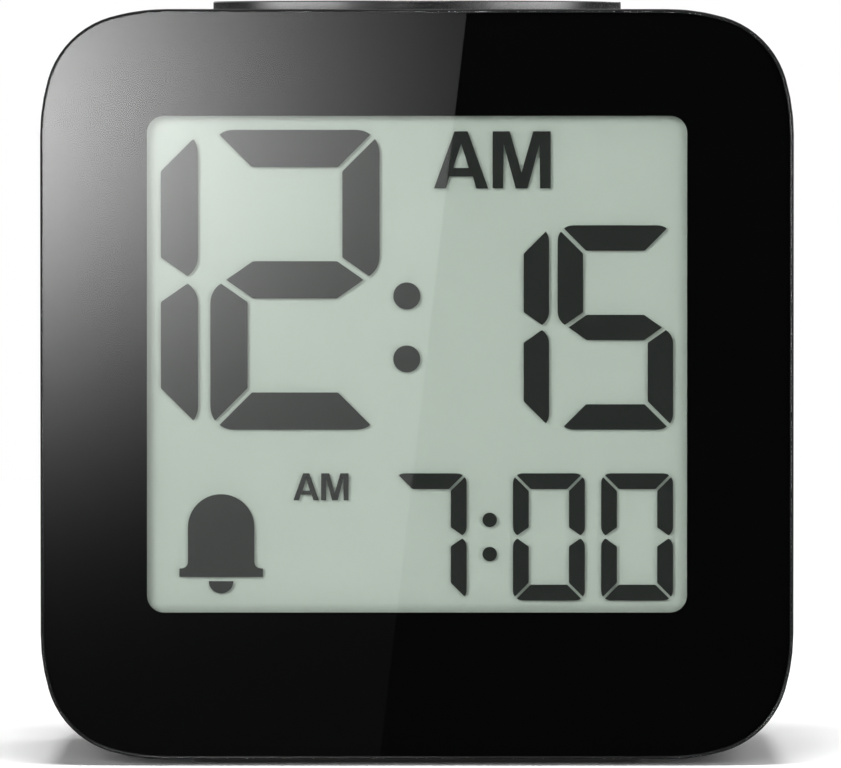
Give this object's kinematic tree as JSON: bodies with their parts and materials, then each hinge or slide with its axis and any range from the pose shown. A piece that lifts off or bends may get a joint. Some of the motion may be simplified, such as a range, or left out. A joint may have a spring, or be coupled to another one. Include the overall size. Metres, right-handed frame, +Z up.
{
  "type": "alarm clock",
  "caption": "Small square desk alarm clock with an LCD behind a flush black lens, a round top button, rear keys, loudspeaker and a hinged battery door.",
  "frame": {"origin": "on the desk under the middle of the clock", "axes": "+Z up, -Y out of the face towards the viewer, +X to the viewer's right"},
  "size_m": [0.06, 0.041, 0.0609],
  "materials": {
    "case_plastic": "fine satin texture",
    "lens_clear": "polished, clear",
    "mask_black": "black foil",
    "foot_rubber": "matt",
    "lcd_glass": "polished",
    "lcd_ink": "dark lit segments",
    "lcd_sealant": "matt",
    "reflector": "grey-green diffuser",
    "guide_clear": "clear",
    "led_white": "gloss",
    "zebra_rubber": "matt",
    "holder_white": "moulded",
    "board_green": "solder mask",
    "epoxy_black": "cast resin",
    "can_steel": "drawn can",
    "capacitor_sleeve": "shrink sleeve",
    "screw_steel": "zinc plated",
    "ribbon_grey": "flat cable",
    "cell_jacket": "plain printed jacket",
    "contact_steel": "nickel plated",
    "spring_steel": "wire",
    "wire_red": "insulated wire",
    "wire_black": "insulated wire",
    "wire_white": "insulated wire",
    "switch_black": "moulded",
    "plunger_grey": "moulded",
    "key_plastic": "satin",
    "slide_can": "pressed can",
    "slider_grey": "satin",
    "gasket_foam": "foam",
    "basket_steel": "pressed",
    "cone_film": "film",
    "magnet_dark": "bare"
  },
  "bodies": {
    "case": {"main_case": "case_plastic", "rear_cover": "case_plastic", "front_lens": "lens_clear", "lens_mask": "mask_black", "front_foot": "foot_rubber", "rear_foot": "foot_rubber", "lcd_front_glass": "lcd_glass", "lcd_rear_glass": "lcd_glass", "lcd_segments": "lcd_ink", "lcd_seal": "lcd_sealant", "lcd_reflector": "reflector", "light_guide": "guide_clear", "backlight_leds": "led_white", "zebra_top": "zebra_rubber", "zebra_bottom": "zebra_rubber", "lcd_holder": "holder_white", "main_board": "board_green", "key_board": "board_green", "top_switch_board": "board_green", "chip_blob": "epoxy_black", "crystal_can": "can_steel", "capacitor": "capacitor_sleeve", "board_screws": "screw_steel", "case_screws": "screw_steel", "key_screws": "screw_steel", "top_board_screws": "screw_steel", "ribbon_cable": "ribbon_grey", "cell_lower": "cell_jacket", "cell_upper": "cell_jacket", "contact_bridge": "contact_steel", "contact_positive": "contact_steel", "contact_negative": "contact_steel", "spring_lower": "spring_steel", "spring_upper": "spring_steel", "top_spring_left": "spring_steel", "top_spring_right": "spring_steel", "positive_lead": "wire_red", "negative_lead": "wire_black", "switch_leads": "wire_white", "hour_switch": "switch_black", "minute_switch": "switch_black", "set_switch": "switch_black", "top_switch": "switch_black", "alarm_switch": "slide_can", "speaker_gasket": "gasket_foam", "speaker_pad": "gasket_foam", "speaker_frame": "basket_steel", "speaker_cone": "cone_film", "speaker_magnet": "magnet_dark"},
    "top_button": {"top_button": "key_plastic", "top_plunger": "plunger_grey"},
    "hour_button": {"hour_button": "key_plastic", "hour_plunger": "plunger_grey"},
    "minute_button": {"minute_button": "key_plastic", "minute_plunger": "plunger_grey"},
    "set_button": {"set_button": "key_plastic", "set_plunger": "plunger_grey"},
    "alarm_slider": {"alarm_slider": "slider_grey"},
    "battery_door": {"battery_door": "case_plastic"}
  },
  "joints": [
    {"name": "top_button_press", "type": "slide", "parent": "case", "child": "top_button", "axis": [0, 0, -1], "range_m": [0, 0.0008], "stiffness_N_per_m": 600, "springref_m": -0.0015, "deforming": ["top_spring_left", "top_spring_right"]},
    {"name": "hour_press", "type": "slide", "parent": "case", "child": "hour_button", "axis": [0, -1, 0], "range_m": [0, 0.0006], "stiffness_N_per_m": 400, "springref_m": -0.001},
    {"name": "minute_press", "type": "slide", "parent": "case", "child": "minute_button", "axis": [0, -1, 0], "range_m": [0, 0.0006], "stiffness_N_per_m": 400, "springref_m": -0.001},
    {"name": "set_press", "type": "slide", "parent": "case", "child": "set_button", "axis": [0, -1, 0], "range_m": [0, 0.0006], "stiffness_N_per_m": 400, "springref_m": -0.001},
    {"name": "alarm_slide", "type": "slide", "parent": "case", "child": "alarm_slider", "axis": [1, 0, 0], "range_m": [0, 0.0024]},
    {"name": "door_hinge", "type": "hinge", "parent": "case", "child": "battery_door", "pos_m": [0, 0.0191, 0.0105], "axis": [-1, 0, 0], "range_deg": [0, 105]}
  ]
}
